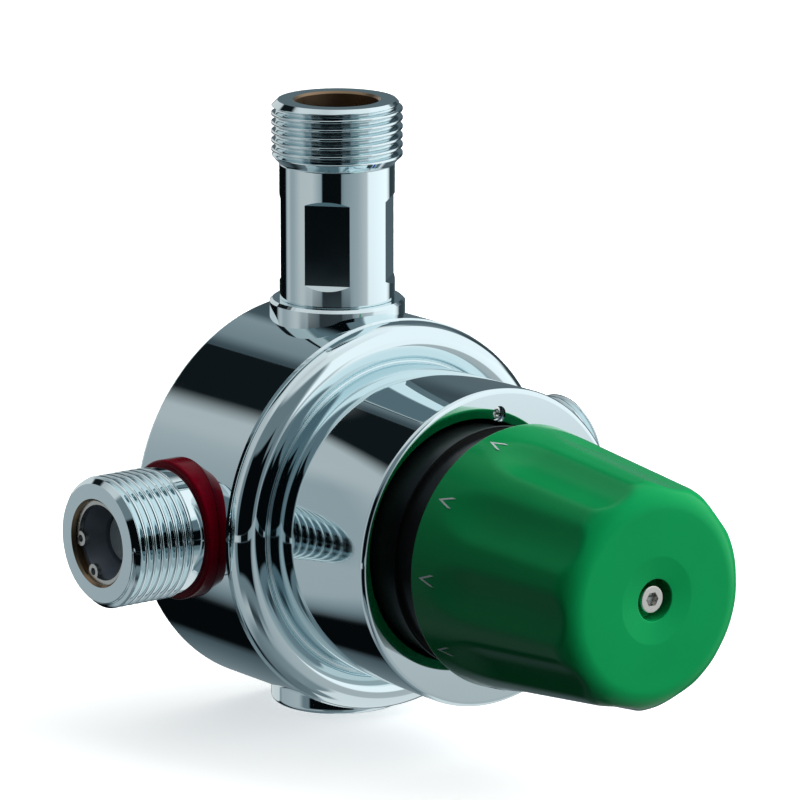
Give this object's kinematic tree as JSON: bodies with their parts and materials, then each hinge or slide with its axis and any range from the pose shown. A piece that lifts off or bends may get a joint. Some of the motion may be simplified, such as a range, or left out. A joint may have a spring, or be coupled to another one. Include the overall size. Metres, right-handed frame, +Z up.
{
  "type": "thermostatic mixing valve",
  "caption": "Chromed thermostatic mixing valve for a pipe run: round body, hot and cold side inlets with marker rings, outlet on top and a fluted temperature knob in front.",
  "frame": {"origin": "where the axes of the two inlets, the outlet and the control cross, inside the drum", "axes": "+X along the cold inlet, -X along the hot inlet, +Z up along the outlet, -Y along the control axis to the knob"},
  "size_m": [0.1192, 0.116, 0.1243],
  "materials": {
    "chrome": "bright chrome plate on brass",
    "brass": "plain turned brass",
    "stainless": "plain stainless steel",
    "green_plastic": "glossy green moulding",
    "black_plastic": "black moulding, semi-gloss",
    "red_plastic": "glossy dark red moulding",
    "blue_plastic": "glossy blue moulding",
    "check_plastic": "blue-grey acetal moulding",
    "poppet_plastic": "pale grey acetal moulding",
    "cartridge_plastic": "dark grey filled plastic",
    "seal_rubber": "black rubber"
  },
  "bodies": {
    "valve": {"valve_body": "chrome", "front_cover": "chrome", "outlet_connector": "chrome", "hot_connector": "chrome", "cold_connector": "chrome", "bonnet": "brass", "hot_seat_ring": "brass", "index_screw": "stainless", "hot_clip": "stainless", "cold_clip": "stainless", "return_spring": "stainless", "hot_check_spring": "stainless", "cold_check_spring": "stainless", "stop_ring": "black_plastic", "hot_marker_ring": "red_plastic", "cold_marker_ring": "blue_plastic", "hot_check_housing": "check_plastic", "cold_check_housing": "check_plastic", "cartridge_sleeve": "cartridge_plastic", "cover_seal": "seal_rubber", "outlet_seal": "seal_rubber", "hot_connector_seal": "seal_rubber", "cold_connector_seal": "seal_rubber", "hot_check_seal": "seal_rubber", "cold_check_seal": "seal_rubber", "sleeve_seal_front": "seal_rubber", "sleeve_seal_middle": "seal_rubber", "sleeve_seal_rear": "seal_rubber", "spindle_seal": "seal_rubber"},
    "handle": {"knob": "green_plastic", "knob_screw": "stainless", "spindle": "brass", "spindle_clip": "stainless"},
    "regulator": {"regulating_nut": "brass", "nut_clip": "stainless", "overload_plunger": "brass", "overload_spring": "stainless", "wax_element": "brass", "mixing_shuttle": "cartridge_plastic", "shuttle_seal": "seal_rubber"},
    "hot_poppet": {"hot_check_poppet": "poppet_plastic"},
    "cold_poppet": {"cold_check_poppet": "poppet_plastic"}
  },
  "joints": [
    {"name": "handle_turn", "type": "hinge", "parent": "valve", "child": "handle", "pos_m": [0, -0.08, 0], "axis": [0, 1, 0], "range_deg": [0, 245]},
    {"name": "regulator_slide", "type": "slide", "parent": "valve", "child": "regulator", "axis": [0, -1, 0], "range_m": [0, 0.00205], "deforming": ["return_spring"]},
    {"name": "hot_poppet_slide", "type": "slide", "parent": "valve", "child": "hot_poppet", "axis": [1, 0, 0], "range_m": [0, 0.003], "stiffness_N_per_m": 100, "deforming": ["hot_check_spring"]},
    {"name": "cold_poppet_slide", "type": "slide", "parent": "valve", "child": "cold_poppet", "axis": [-1, 0, 0], "range_m": [0, 0.003], "stiffness_N_per_m": 100, "deforming": ["cold_check_spring"]}
  ],
  "couplings": [
    {"joint": "regulator_slide", "follows": "handle_turn", "m_per_rad": 0.00047746}
  ]
}
